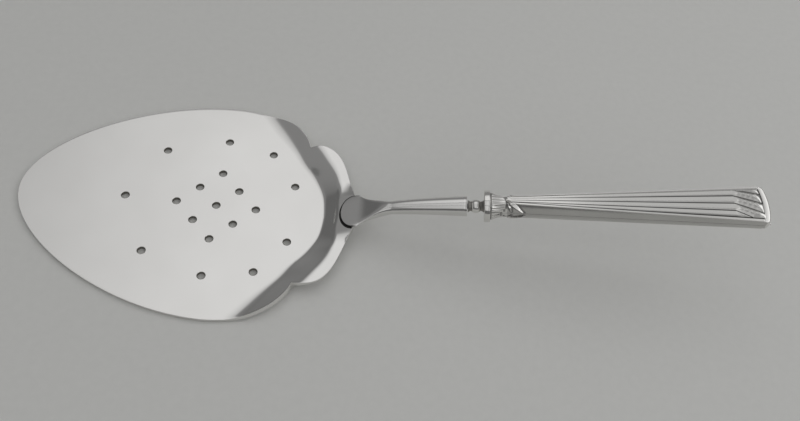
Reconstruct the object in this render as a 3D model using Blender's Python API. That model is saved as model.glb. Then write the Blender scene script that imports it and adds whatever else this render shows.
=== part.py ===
"""Pierced serving slice with a hollow reeded handle, built from separate pieces.

All sizes are metres, with +Z up. The blade lies flat on Z = 0 and the handle rises towards +X.
Along X, the blade and the shank are measured from the blade's centre drain hole. The knop, the tang and
the handle are measured along their own straight axis, from the front face of the collar.
"""

import math

import bmesh
import bpy
from mathutils import Matrix, Vector

# Blade outline, one half of a symmetric sheet. The fullness values place the curves' control points,
# as shares of the stretch that each curve spans.
BLADE_THICKNESS = 0.0015
BLADE_WIDTH = 0.0955
NOSE_LENGTH = 0.0757
NOSE_FULLNESS = 0.46
WIDEST_BEHIND_CENTRE = 0.003
SIDE_LOBE_LENGTH = 0.0295
SIDE_LOBE_FULLNESS = ((0.054, 0), (0.825, 0.015))
NOTCH_WIDTH = 0.0618
REAR_LOBE_LENGTH = 0.0199
REAR_LOBE_FULLNESS = ((0.707, -0.119), (0.748, 0.457))
REAR_END_WIDTH = 0.013

# Heel of the blade, an S-shaped step that lifts the rear lobes and the seat of the tongue. Its front line is
# straight across the middle and raked towards both sides, with a soft corner between. The step starts a lag
# behind that line, swells forwards near each notch, leads at the sides, and gets longer towards the lobes and
# the sides. Its ramp is straight but for a rounded share at each end. It is lower by the seat's drop in front
# of the seat, whose slope makes up for it.
HEEL_BEFORE_REAR_END = 0.0123
HEEL_STRAIGHT = 0.009
HEEL_CORNER = 0.005
HEEL_RAKE = 0.75
HEEL_LAG = 0.0009
SWELL = 0.0009
SWELL_AT = 0.0235
SWELL_REACH = 0.0042
STEP_HEIGHT = 0.0044
STEP_LENGTH = 0.0072
STEP_ROUNDING = 0.25
LOBE_STEP_LENGTH = 0.0118
LOBE_STEP_FROM = 0.004
LOBE_STEP_TO = 0.024
SIDE_STEP_LENGTH = 0.0135
SIDE_STEP_FROM = 0.023
SIDE_STEP_TO = 0.04
SIDE_ROUNDING = 0.4
SIDE_LEAD = 0.0022
SEAT_SLOPE = 0.36
SEAT_DROP = 0.0007
SEAT_MARGIN = 0.0021
SEAT_SIDE = 0.0005
SEAT_FADE = 0.008

# Drain holes: a diamond of nine, one towards the tip, and pairs that make an outer ring with it.
# Each pair is given as an angle from the handle's side, in degrees, and a distance.
HOLE_DIAMETER = 0.003
DIAMOND_REACH = 0.015
TIP_HOLE_REACH = 0.0341
OUTER_HOLE_PAIRS = ((135, 0.0325), (90, 0.0306), (56, 0.0324), (24, 0.0312))

# Shank: a flat tongue lapped on the heel, drawn out to a tapered round stem. The tongue has a round nose and
# a short straight part, and the flare behind it narrows fast at first.
TONGUE_LAP = 0.0053
TONGUE_NOSE = 0.0050
TONGUE_WIDTH = 0.0141
TONGUE_THICKNESS = 0.0010
TONGUE_SQUARENESS = 6.0
TONGUE_STRAIGHT = 0.0017
FLARE_LENGTH = 0.0125
FLARE_RISE_LENGTH = 0.0115
FLARE_WAIST = 0.38
FLARE_LEAD = 0.008
NECK_RADIUS = 0.0025
STEM_LENGTH = 0.0271
STEM_LEAD = 0.030
STEM_END_RADIUS = 0.0038

# Axis of the knop, the tang and the handle, at the front face of the collar
AXIS_HEIGHT = 0.0217
AXIS_ANGLE = math.radians(11.4)

# Tang, a round rod with a blunt point
TANG_RADIUS = 0.0010
TANG_IN_SHANK = 0.012
TANG_IN_HANDLE = 0.055
TANG_POINT = 0.004
TANG_POINT_RADIUS = 0.0005

# Knop, a bead between two coves
KNOP_LENGTH = 0.0056
KNOP_WALL = 0.0005
KNOP_BEAD_LENGTH = 0.0032
KNOP_BEAD_RISE = 0.0008
KNOP_END_RISE = 0.0006

# Collar, a ring with a spigot that plugs the mouth of the handle
COLLAR_RADIUS = 0.0059
COLLAR_THICKNESS = 0.00235
COLLAR_EDGE = 0.0003
SPIGOT_LENGTH = 0.003

# Handle shells. Each has a flat face, narrow at the tie and nearly as wide as the handle at the butt, and
# two flanks that bulge from the face's edges down to the seams. The handle is nearly round at its mouth, deep
# and narrow at the tie and flat at the butt. The butt's end is bowed, so that its middle stands out.
HANDLE_LENGTH = 0.1017
SHELL_WALL = 0.0006
MOUTH_RADIUS = 0.0046
TIE_FROM_COLLAR = 0.0085
TIE_FACE_WIDTH = 0.0030
TIE_SEAM_WIDTH = 0.0058
TIE_FRONT_DEPTH = 0.0040
TIE_BACK_DEPTH = 0.0045
TIE_RIDGE = 0.00025
TIE_WIDTH = 0.0020
BUTT_FACE_WIDTH = 0.0154
BUTT_SEAM_WIDTH = 0.0157
BUTT_FRONT_DEPTH = 0.0020
BUTT_BACK_DEPTH = 0.0019
BUTT_WALL = 0.0018
BUTT_ROUND = 0.0008
BUTT_BOW = 0.0011
BOW_RUN = 0.010

# Fan of reeds on each face, full reeds between two narrow border beads
REED_COUNT = 4
BORDER_SHARE = 0.35
REED_HEIGHT_SHARE = 0.12
REED_START = 0.003

# Finishes, as colour and roughness
SILVER = (0.86, 0.86, 0.85)
STEEL = (0.45, 0.45, 0.46)
PITCH = (0.10, 0.07, 0.05)
POLISHED = 0.12
STAMPED = 0.18
BARE = 0.45
DULL = 0.8

# Clearances between pieces
JOINT_GAP = 0.0003
TANG_CLEARANCE = 0.0002
FILLER_GAP = 0.0003

# Fineness of the meshes
NOSE_ROWS = 14
LOBE_ROWS = 12
BLADE_COLUMNS = 20
HOLE_SIDES = 16
RING_POINTS = 20
TONGUE_RINGS = 6
STEM_RINGS = 20
KNOP_RINGS = 12
MOUTH_ROWS = 3
TIE_ROWS = 4
FAN_ROWS = 10
REED_STEPS = 4
BORDER_STEPS = 2
FILLER_RINGS = 8
BUTT_TURNS = 2
SMOOTH_ANGLE = math.radians(35)

# Squareness of a true ellipse, where higher values give squarer sections
ROUND = 2.0

# Bulge of a flank that is part of an ellipse, and of one that meets the face at an edge
ROUND_FLANK = 0.5
EDGED_FLANK = 1.0

# Places worked out from the sizes above
WIDEST_X = WIDEST_BEHIND_CENTRE
TIP_X = WIDEST_X - NOSE_LENGTH
NOTCH_X = WIDEST_X + SIDE_LOBE_LENGTH
REAR_X = NOTCH_X + REAR_LOBE_LENGTH
HEEL_X = REAR_X - HEEL_BEFORE_REAR_END
TONGUE_X = REAR_X - TONGUE_LAP
SEAT_X = TONGUE_X - SEAT_MARGIN
TONGUE_WIDEST_X = TONGUE_X + TONGUE_NOSE
FLARE_X = TONGUE_WIDEST_X + TONGUE_STRAIGHT
NECK_X = FLARE_X + FLARE_LENGTH
STEM_END_X = NECK_X + STEM_LENGTH
STEM_END = -(KNOP_LENGTH + 2 * JOINT_GAP)
AXIS_DIRECTION = Vector((math.cos(AXIS_ANGLE), 0, math.sin(AXIS_ANGLE)))
AXIS_ORIGIN = Vector((STEM_END_X - STEM_END * AXIS_DIRECTION.x, 0, AXIS_HEIGHT))
BORE_RADIUS = TANG_RADIUS + TANG_CLEARANCE
SHELL_START = COLLAR_THICKNESS + JOINT_GAP
SPIGOT_END = COLLAR_THICKNESS + SPIGOT_LENGTH
CAVITY_END = HANDLE_LENGTH - BUTT_WALL
PUNCH_LENGTH = 4 * BLADE_THICKNESS
MOUTH_SIZES = (TIE_FACE_WIDTH / 2, MOUTH_RADIUS, MOUTH_RADIUS, MOUTH_RADIUS, ROUND_FLANK)
TIE_SIZES = (TIE_FACE_WIDTH / 2, TIE_SEAM_WIDTH / 2, TIE_FRONT_DEPTH, TIE_BACK_DEPTH, EDGED_FLANK)
BUTT_SIZES = (BUTT_FACE_WIDTH / 2, BUTT_SEAM_WIDTH / 2, BUTT_FRONT_DEPTH, BUTT_BACK_DEPTH, EDGED_FLANK)

# Chosen so that a whole section of the handle has as many points as any other ring
FLANK_STEPS = RING_POINTS // 4 - 1


def clear_scene():
    """Empty the scene that the script starts in."""
    for item in list(bpy.data.objects):
        bpy.data.objects.remove(item)


def make_material(name, colour, metallic, roughness):
    """One Principled surface of a plain colour."""
    material = bpy.data.materials.new(name)
    material.use_nodes = True
    shader = material.node_tree.nodes["Principled BSDF"]
    shader.inputs["Base Color"].default_value = (*colour, 1)
    shader.inputs["Metallic"].default_value = metallic
    shader.inputs["Roughness"].default_value = roughness
    return material


def add_object(name, bm, material, parent):
    """Turn a bmesh into a named object with outward faces and one material."""
    bmesh.ops.recalc_face_normals(bm, faces=bm.faces)
    mesh = bpy.data.meshes.new(name)
    bm.to_mesh(mesh)
    bm.free()
    mesh.shade_smooth()
    mesh.set_sharp_from_angle(angle=SMOOTH_ANGLE)
    mesh.materials.append(material)
    item = bpy.data.objects.new(name, mesh)
    item.parent = parent
    bpy.context.scene.collection.objects.link(item)
    return item


def add_empty(name, parent):
    """A parent that carries pieces but is no piece itself."""
    item = bpy.data.objects.new(name, None)
    item.parent = parent
    bpy.context.scene.collection.objects.link(item)
    return item


def smooth_step(value):
    """Ease from 0 to 1 while value goes from 0 to 1."""
    value = min(max(value, 0.0), 1.0)
    return value * value * (3 - 2 * value)


def soft_ramp(value, rounding):
    """A straight ramp from 0 to 1 while value goes from 0 to 1, rounded over a share of it at both ends."""
    value = min(max(value, 0.0), 1.0)
    end = min(value, 1 - value)
    if end > rounding:
        return (value - rounding / 2) / (1 - rounding)
    rise = end ** 2 / (2 * rounding * (1 - rounding))
    return rise if value < rounding else 1 - rise


def blend(start, end, share):
    """The value that lies a share of the way from start to end."""
    return start + (end - start) * share


def spread(start, end, count):
    """Evenly spaced values from just after start up to end itself."""
    return [blend(start, end, (index + 1) / count) for index in range(count)]


def bezier(points, share):
    """A point on a cubic curve of four control points."""
    a, b, c, d = points
    rest = 1 - share
    return a * rest ** 3 + b * 3 * rest ** 2 * share + c * 3 * rest * share ** 2 + d * share ** 3


def skin(bm, first, second):
    """A strip of faces between two rows of vertices of equal length."""
    for i in range(len(first) - 1):
        bm.faces.new((first[i], first[i + 1], second[i + 1], second[i]))


def loft(rings, closed=False):
    """A body skinned over a run of rings, with flat ends, or joined end to end where closed."""
    bm = bmesh.new()
    loops = [[bm.verts.new(point) for point in ring] for ring in rings]
    if not closed:
        bm.faces.new(loops[0])
        bm.faces.new(loops[-1])
    pairs = list(zip(loops, loops[1:]))
    if closed:
        pairs.append((loops[-1], loops[0]))
    for first, second in pairs:
        skin(bm, first + first[:1], second + second[:1])
    return bm


def signed_power(value, power):
    """A power that keeps the sign of its base."""
    return math.copysign(abs(value) ** power, value)


def section_ring(centre, direction, half_width, above, below, squareness=ROUND):
    """A ring across a direction in the XZ plane, reaching above and below its centre."""
    side = Vector((0, 1, 0))
    up = direction.cross(side)
    power = 2 / squareness
    ring = []
    for index in range(RING_POINTS):
        angle = 2 * math.pi * (index + 0.5) / RING_POINTS
        across = half_width * signed_power(math.cos(angle), power)
        rise = signed_power(math.sin(angle), power)
        reach = above if rise > 0 else below
        ring.append(centre + side * across + up * reach * rise)
    return ring


def turned_ring(place, radius):
    """A circle across the handle's axis, in the axis's own frame."""
    return section_ring(Vector((place, 0, 0)), Vector((1, 0, 0)), radius, radius, radius)


def lobe_curve(start, end, fullness):
    """Control points of a curve whose inner two lie at shares of the way from start to end."""
    span = end - start
    inner = [start + Vector((span.x * along, span.y * down)) for along, down in fullness]
    return (start, *inner, end)


def outline_rows():
    """Points (x, half width) of the blade's edge, row by row from the tip to the rear end."""
    tip = Vector((TIP_X, 0))
    widest = Vector((WIDEST_X, BLADE_WIDTH / 2))
    notch = Vector((NOTCH_X, NOTCH_WIDTH / 2))
    rear = Vector((REAR_X, REAR_END_WIDTH / 2))
    nose = lobe_curve(tip, widest, ((0, NOSE_FULLNESS), (1 - NOSE_FULLNESS, 1)))
    side = lobe_curve(widest, notch, SIDE_LOBE_FULLNESS)
    lobe = lobe_curve(notch, rear, REAR_LOBE_FULLNESS)
    rows = []
    for points, count in ((nose, NOSE_ROWS), (side, LOBE_ROWS), (lobe, LOBE_ROWS)):
        rows += [bezier(points, share) for share in spread(0, 1, count)]
    return rows


def heel_step(beyond, y):
    """Share of the step's height that is reached a distance beyond the heel's front line."""
    towards = smooth_step((abs(y) - LOBE_STEP_FROM) / (LOBE_STEP_TO - LOBE_STEP_FROM))
    outwards = smooth_step((abs(y) - SIDE_STEP_FROM) / (SIDE_STEP_TO - SIDE_STEP_FROM))
    length = blend(STEP_LENGTH, LOBE_STEP_LENGTH, towards)
    length += (SIDE_STEP_LENGTH - LOBE_STEP_LENGTH) * outwards
    swell = SWELL * math.exp(-((abs(y) - SWELL_AT) / SWELL_REACH) ** 2)
    start = HEEL_LAG - swell - SIDE_LEAD * outwards
    return soft_ramp((beyond - start) / (length - start), blend(STEP_ROUNDING, SIDE_ROUNDING, outwards))


def blade_rise(x, y):
    """Height of the blade's underside: flat, then the heel step, then the seat of the tongue."""
    outside = abs(y) - HEEL_STRAIGHT
    bend = math.hypot(outside, HEEL_CORNER)
    heel = HEEL_X - HEEL_RAKE * (outside + bend) / 2
    beyond = (x - heel) / math.hypot(1, HEEL_RAKE * (1 + outside / bend) / 2)
    fade = 1 - smooth_step((abs(y) - TONGUE_WIDTH / 2 - SEAT_SIDE) / SEAT_FADE)
    step = (STEP_HEIGHT - SEAT_DROP * fade) * heel_step(beyond, y)
    return step + SEAT_SLOPE * max(x - SEAT_X, 0) * fade


def hole_places():
    """Centres of the drain holes: the diamond first, then the outer ring on both sides."""
    half = DIAMOND_REACH / 2
    places = [(half * (i - j), half * (i + j)) for i in (-1, 0, 1) for j in (-1, 0, 1)]
    places.append((-TIP_HOLE_REACH, 0))
    for angle, reach in OUTER_HOLE_PAIRS:
        along = reach * math.cos(math.radians(angle))
        across = reach * math.sin(math.radians(angle))
        places += [(along, across), (along, -across)]
    return places


def make_hole_cutter(parent):
    """Round punches through the flat of the blade, as one hidden cutting object."""
    bm = bmesh.new()
    for x, y in hole_places():
        bmesh.ops.create_cone(
            bm,
            cap_ends=True,
            segments=HOLE_SIDES,
            radius1=HOLE_DIAMETER / 2,
            radius2=HOLE_DIAMETER / 2,
            depth=PUNCH_LENGTH,
            matrix=Matrix.Translation((x, y, BLADE_THICKNESS / 2)),
        )
    mesh = bpy.data.meshes.new("hole_cutter")
    bm.to_mesh(mesh)
    bm.free()
    cutter = bpy.data.objects.new("hole_cutter", mesh)
    cutter.parent = parent
    cutter.hide_render = True
    cutter.display_type = "WIRE"
    bpy.context.scene.collection.objects.link(cutter)
    return cutter


def blade_sheet(bm, lift):
    """One face of the blade, rows of vertices across the outline. Returns its edge in order."""
    shares = [2 * index / BLADE_COLUMNS - 1 for index in range(BLADE_COLUMNS + 1)]
    tip = bm.verts.new((TIP_X, 0, blade_rise(TIP_X, 0) + lift))
    rows = []
    for x, half in outline_rows():
        rows.append([bm.verts.new((x, half * t, blade_rise(x, half * t) + lift)) for t in shares])
    for left, right in zip(rows[0], rows[0][1:]):
        bm.faces.new((tip, left, right))
    for first, second in zip(rows, rows[1:]):
        skin(bm, first, second)
    return [tip] + [row[0] for row in rows] + rows[-1][1:] + [row[-1] for row in rows[-2::-1]]


def make_blade(material, parent):
    """The stamped sheet with its punched holes."""
    bm = bmesh.new()
    upper = blade_sheet(bm, BLADE_THICKNESS)
    lower = blade_sheet(bm, 0)
    skin(bm, upper + upper[:1], lower + lower[:1])
    blade = add_object("blade", bm, material, parent)
    cut = blade.modifiers.new("drain_holes", "BOOLEAN")
    cut.operation = "DIFFERENCE"
    cut.solver = "EXACT"
    cut.object = make_hole_cutter(parent)


def axis_point(place):
    """A point on the handle's axis, place metres behind the collar's front face."""
    return AXIS_ORIGIN + AXIS_DIRECTION * place


def tongue_centre(x):
    """Middle of the tongue's thickness, which lies parallel to its seat on the blade."""
    seat = blade_rise(REAR_X, 0) + SEAT_SLOPE * (x - REAR_X)
    lift = (JOINT_GAP + TONGUE_THICKNESS / 2) * math.hypot(1, SEAT_SLOPE)
    return Vector((x, 0, BLADE_THICKNESS + seat + lift))


def tongue_rings():
    """The round-nosed flat tongue, from its nose to the end of its straight part."""
    direction = Vector((1, 0, SEAT_SLOPE)).normalized()
    half = TONGUE_THICKNESS / 2
    rings = []
    for turn in spread(0, math.pi / 2, TONGUE_RINGS):
        centre = tongue_centre(TONGUE_WIDEST_X - TONGUE_NOSE * math.cos(turn))
        half_width = TONGUE_WIDTH / 2 * math.sin(turn)
        rings.append(section_ring(centre, direction, half_width, half, half, TONGUE_SQUARENESS))
    end = tongue_centre(FLARE_X)
    rings.append(section_ring(end, direction, TONGUE_WIDTH / 2, half, half, TONGUE_SQUARENESS))
    return rings


def stem_centres():
    """Centre points from the end of the tongue along the bent shank to the stem's flat end."""
    start = tongue_centre(FLARE_X)
    end = axis_point(STEM_END)
    leave = start + Vector((1, 0, SEAT_SLOPE)) * FLARE_LEAD
    arrive = end - AXIS_DIRECTION * STEM_LEAD
    return [bezier((start, leave, arrive, end), index / STEM_RINGS) for index in range(STEM_RINGS + 1)]


def stem_rings():
    """The flare behind the tongue and the round stem, ending square to the handle's axis."""
    centres = stem_centres()
    rings = []
    for index in range(1, STEM_RINGS + 1):
        centre = centres[index]
        direction = AXIS_DIRECTION
        if index < STEM_RINGS:
            direction = (centres[index + 1] - centres[index - 1]).normalized()
        flared = smooth_step((centre.x - FLARE_X) / FLARE_LENGTH)
        risen = smooth_step((centre.x - FLARE_X) / FLARE_RISE_LENGTH)
        radius = blend(NECK_RADIUS, STEM_END_RADIUS, max(centre.x - NECK_X, 0) / STEM_LENGTH)
        half_width = blend(TONGUE_WIDTH / 2, radius, flared ** FLARE_WAIST)
        half = blend(TONGUE_THICKNESS / 2, radius, risen)
        squareness = blend(TONGUE_SQUARENESS, ROUND, flared)
        rings.append(section_ring(centre, direction, half_width, half, half, squareness))
    return rings


def make_shank(material, parent):
    """Tongue, flare and stem in one forging, with a drilled socket for the tang."""
    radius = BORE_RADIUS
    socket = []
    for place in (STEM_END, STEM_END - TANG_IN_SHANK - JOINT_GAP):
        socket.append(section_ring(axis_point(place), AXIS_DIRECTION, radius, radius, radius))
    add_object("shank", loft(tongue_rings() + stem_rings() + socket), material, parent)


def make_tang(material, axis):
    """The rod that ties the shank to the handle."""
    start = STEM_END - TANG_IN_SHANK
    rings = [
        turned_ring(start, TANG_RADIUS),
        turned_ring(TANG_IN_HANDLE - TANG_POINT, TANG_RADIUS),
        turned_ring(TANG_IN_HANDLE, TANG_POINT_RADIUS),
    ]
    add_object("tang", loft(rings), material, axis)


def knop_radius(from_middle):
    """Outer radius of the knop at a distance from its middle: the bead, then a cove."""
    cove = BORE_RADIUS + KNOP_WALL
    half_bead = KNOP_BEAD_LENGTH / 2
    if from_middle < half_bead:
        return cove + KNOP_BEAD_RISE * math.sqrt(1 - (from_middle / half_bead) ** 2)
    beyond = (from_middle - half_bead) / (KNOP_LENGTH / 2 - half_bead)
    return cove + KNOP_END_RISE * beyond ** 2


def make_knop(material, axis):
    """The turned bead that sits on the tang between the stem and the collar."""
    front = STEM_END + JOINT_GAP
    rings = [turned_ring(front, BORE_RADIUS)]
    for index in range(KNOP_RINGS + 1):
        along = KNOP_LENGTH * index / KNOP_RINGS
        rings.append(turned_ring(front + along, knop_radius(abs(along - KNOP_LENGTH / 2))))
    rings.append(turned_ring(front + KNOP_LENGTH, BORE_RADIUS))
    add_object("knop", loft(rings, closed=True), material, axis)


def handle_section(place):
    """Half widths of the face and at the seams, front and back depth, and the flanks' bulge at a place."""
    sizes = BUTT_SIZES
    share = (place - TIE_FROM_COLLAR) / (HANDLE_LENGTH - TIE_FROM_COLLAR)
    if place < TIE_FROM_COLLAR:
        sizes = MOUTH_SIZES
        share = ((TIE_FROM_COLLAR - place) / (TIE_FROM_COLLAR - SHELL_START)) ** 2
    return [blend(tie, size, share) for tie, size in zip(TIE_SIZES, sizes)]


def half_section(place, side, inset):
    """Half width and depth of a shell's face, and points (across, depth) up its flank from the seam.

    The side is 1 for the front and -1 for the back, and the section is drawn in by inset.
    """
    face, seam, front, back, bulge = handle_section(place)
    depth = (front if side > 0 else back) - inset
    flank = []
    for index in range(FLANK_STEPS):
        share = index / FLANK_STEPS
        flank.append((face - inset + (seam - face) * (1 - share ** 2) ** bulge, depth * share))
    return face - inset, depth, flank


def fan_profile():
    """Points (share of the fan's half width, height in reed widths) across one border to the other."""
    widths = [BORDER_SHARE] + [1] * REED_COUNT + [BORDER_SHARE]
    steps = [BORDER_STEPS] + [REED_STEPS] * REED_COUNT + [BORDER_STEPS]
    half = sum(widths) / 2
    points = [(1.0, 0.0)]
    start = half
    for width, count in zip(widths, steps):
        for share in spread(0, 1, count):
            bulge = 1 - (2 * share - 1) ** 2
            points.append(((start - width * share) / half, REED_HEIGHT_SHARE * width * bulge))
        start -= width
    return points


def reed_scale(place):
    """Reed width at a place, eased to nothing at the tie and in the plain band at the butt."""
    if place > CAVITY_END:
        return 0.0
    rise = smooth_step((place - TIE_FROM_COLLAR - TIE_WIDTH / 2) / REED_START)
    return rise * 2 * handle_section(place)[0] / (REED_COUNT + 2 * BORDER_SHARE)


def bow_back(place, across):
    """How far the bowed butt draws a point back, at a distance across from the middle line."""
    ramp = smooth_step((place - HANDLE_LENGTH + BOW_RUN) / BOW_RUN)
    return BUTT_BOW * ramp * (2 * across / BUTT_SEAM_WIDTH) ** 2


def shell_row(place, side, inset, reeds):
    """Half a section from one seam over the face to the other, with the relief's height set by reeds."""
    half, depth, flank = half_section(place, side, inset)
    face = [(half * across, depth + height * reeds) for across, height in fan_profile()]
    points = flank + face + [(-y, z) for y, z in reversed(flank)]
    return [Vector((place - bow_back(place, y), y, side * (z + JOINT_GAP / 2))) for y, z in points]


def shell_places():
    """Places of the shell's rows from the mouth to the end of the cavity."""
    tie_start = TIE_FROM_COLLAR - TIE_WIDTH / 2
    tie_end = TIE_FROM_COLLAR + TIE_WIDTH / 2
    places = [SHELL_START] + spread(SHELL_START, tie_start, MOUTH_ROWS)
    places += spread(tie_start, tie_end, TIE_ROWS)
    return places + [tie_end + REED_START] + spread(tie_end + REED_START, CAVITY_END, FAN_ROWS)


def tie_swell(place):
    """Extra radius of the tie's raised band."""
    offset = abs(place - TIE_FROM_COLLAR) / (TIE_WIDTH / 2)
    return TIE_RIDGE * (1 - smooth_step(offset))


def outer_rows(side):
    """Rows of a shell's outside: the reeded face, then the rounded edge of the butt."""
    rows = [shell_row(place, side, -tie_swell(place), reed_scale(place)) for place in shell_places()]
    for index in range(BUTT_TURNS + 1):
        turn = math.pi / 2 * index / BUTT_TURNS
        place = HANDLE_LENGTH - BUTT_ROUND * (1 - math.sin(turn))
        rows.append(shell_row(place, side, BUTT_ROUND * (1 - math.cos(turn)), 0))
    return rows


def end_wall(bm, row):
    """Close a shell's last row with a wall down to the seam. Returns the wall's edge on the seam."""
    seam = row[0].co.z
    face = row[FLANK_STEPS:-FLANK_STEPS]
    floor = [bm.verts.new((vert.co.x, vert.co.y, seam)) for vert in face]
    skin(bm, face, floor)
    bm.faces.new(row[:FLANK_STEPS + 1] + floor[:1])
    bm.faces.new(floor[-1:] + row[-FLANK_STEPS - 1:])
    return [row[0]] + floor + [row[-1]]


def make_shell(name, material, axis, side):
    """One stamped half of the handle: reeded face, smooth inside, closed and rounded butt."""
    bm = bmesh.new()
    outside = [[bm.verts.new(point) for point in row] for row in outer_rows(side)]
    inside = []
    for place in shell_places():
        inside.append([bm.verts.new(point) for point in shell_row(place, side, SHELL_WALL, 0)])
    for rows in (outside, inside):
        for first, second in zip(rows, rows[1:]):
            skin(bm, first, second)
    skin(bm, outside[0], inside[0])
    for edge in (0, -1):
        skin(bm, [row[edge] for row in outside[:len(inside)]], [row[edge] for row in inside])
    butt = outside[len(inside) - 1:-1]
    rim = [row[0] for row in butt] + end_wall(bm, outside[-1]) + [row[-1] for row in reversed(butt)]
    bm.faces.new(rim + end_wall(bm, inside[-1])[::-1])
    add_object(name, bm, material, axis)


def make_collar(material, axis):
    """The ring at the mouth of the handle, with the spigot that the shells close round."""
    _, *reaches, _ = handle_section(SPIGOT_END)
    spigot = min(reaches) - SHELL_WALL - JOINT_GAP
    profile = [
        (0, BORE_RADIUS),
        (0, COLLAR_RADIUS - COLLAR_EDGE),
        (COLLAR_EDGE, COLLAR_RADIUS),
        (COLLAR_THICKNESS - COLLAR_EDGE, COLLAR_RADIUS),
        (COLLAR_THICKNESS, COLLAR_RADIUS - COLLAR_EDGE),
        (COLLAR_THICKNESS, spigot),
        (SPIGOT_END, spigot),
        (SPIGOT_END, BORE_RADIUS),
    ]
    rings = [turned_ring(place, radius) for place, radius in profile]
    add_object("collar", loft(rings, closed=True), material, axis)


def filler_ring(place):
    """A ring inside both shells, front half first."""
    ring = []
    for side in (1, -1):
        half, depth, flank = half_section(place, side, SHELL_WALL + FILLER_GAP)
        face = [(half, depth), (0, depth), (-half, depth)]
        points = flank + face + [(-y, z) for y, z in reversed(flank[1:])]
        ring += [Vector((place, side * y, side * z)) for y, z in points]
    return ring


def make_filler(material, axis):
    """The set cement inside the shells, with the hole that the tang leaves in it."""
    start = SPIGOT_END + FILLER_GAP
    end = CAVITY_END - BUTT_BOW - FILLER_GAP
    rings = [turned_ring(TANG_IN_HANDLE + TANG_CLEARANCE, BORE_RADIUS), turned_ring(start, BORE_RADIUS)]
    places = [start] + spread(start, TIE_FROM_COLLAR, MOUTH_ROWS)
    rings += [filler_ring(place) for place in places + spread(TIE_FROM_COLLAR, end, FILLER_RINGS)]
    add_object("handle_filler", loft(rings), material, axis)


def centre_on_base(root):
    """Move the whole so that its bounding box is centred over the origin along X."""
    bpy.context.view_layer.update()
    places = []
    for item in bpy.data.objects:
        if item.type == "MESH" and not item.hide_render:
            places += [(item.matrix_world @ vert.co).x for vert in item.data.vertices]
    root.location.x = -(min(places) + max(places)) / 2


def main():
    """Build every piece under one root, with the handle's pieces on the axis that they share."""
    clear_scene()
    root = add_empty("server", None)
    axis = add_empty("handle_axis", root)
    axis.location = AXIS_ORIGIN
    axis.rotation_euler = (0, -AXIS_ANGLE, 0)

    make_blade(make_material("blade_polished_silver_plate", SILVER, 1, POLISHED), root)
    make_shank(make_material("shank_polished_silver_plate", SILVER, 1, POLISHED), root)
    make_tang(make_material("tang_bare_steel", STEEL, 1, BARE), axis)
    make_knop(make_material("knop_polished_silver", SILVER, 1, POLISHED), axis)
    make_collar(make_material("collar_polished_silver", SILVER, 1, POLISHED), axis)
    make_shell("handle_front", make_material("front_stamped_silver", SILVER, 1, STAMPED), axis, 1)
    make_shell("handle_back", make_material("back_stamped_silver", SILVER, 1, STAMPED), axis, -1)
    make_filler(make_material("filler_pitch_cement", PITCH, 0, DULL), axis)
    centre_on_base(root)


main()
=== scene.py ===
# %% [markdown]
# # A pierced silver server
# This is a broad flat server for lifting food out of water. Its blade is one stamped sheet with drain holes
# and a raised heel, a forged shank is brazed on that heel, and a hollow handle follows, stamped in two halves
# as a tied bundle of spears. The measured model, loaded first, fixes every size and place. The pieces made
# here are its finely shaped outsides.

# %% Load the measured model
import math

import bpy
from mathutils import Matrix, Vector


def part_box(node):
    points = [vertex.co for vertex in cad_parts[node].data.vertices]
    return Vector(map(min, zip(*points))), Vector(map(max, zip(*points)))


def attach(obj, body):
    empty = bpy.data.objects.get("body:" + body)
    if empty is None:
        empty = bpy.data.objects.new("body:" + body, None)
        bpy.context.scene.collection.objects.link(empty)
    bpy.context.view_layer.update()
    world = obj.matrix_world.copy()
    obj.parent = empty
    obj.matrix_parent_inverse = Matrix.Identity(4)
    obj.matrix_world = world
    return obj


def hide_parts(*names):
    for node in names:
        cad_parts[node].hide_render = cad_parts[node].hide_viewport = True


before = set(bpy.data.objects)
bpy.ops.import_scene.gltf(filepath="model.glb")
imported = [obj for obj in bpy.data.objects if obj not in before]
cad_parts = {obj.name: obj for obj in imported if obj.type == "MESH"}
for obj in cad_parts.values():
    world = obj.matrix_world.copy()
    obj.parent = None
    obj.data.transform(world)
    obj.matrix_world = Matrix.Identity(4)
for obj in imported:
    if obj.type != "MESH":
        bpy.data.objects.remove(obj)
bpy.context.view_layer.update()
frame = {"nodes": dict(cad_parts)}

MM = 0.001
TIP_TO_HOLE = 72.7 * MM
HOLE_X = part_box("blade")[0].x + TIP_TO_HOLE
print("centre drain hole at x =", round(HOLE_X / MM, 2), "mm")

# %% [markdown]
# ## The camera
# The drain holes make a square grid turned by 45 degrees, so their picture tells where the camera stood: 56
# degrees high, turned a little to the side, rolled by 13 degrees and about 31 cm away. The camera is built
# from these angles, because they are easier to read and correct than a matrix.

# %% Camera at the photograph's viewing angle
CAMERA_TURN = math.radians(-8.0)
CAMERA_HEIGHT_ANGLE = math.radians(55.98)
CAMERA_ROLL = math.radians(13.28)
CAMERA_PLACE = Vector((45.87, -167.01, 262.33)) * MM
LENS = 36.0
SENSOR_WIDTH = 36.0
NEAREST_SEEN = 10 * MM

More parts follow.
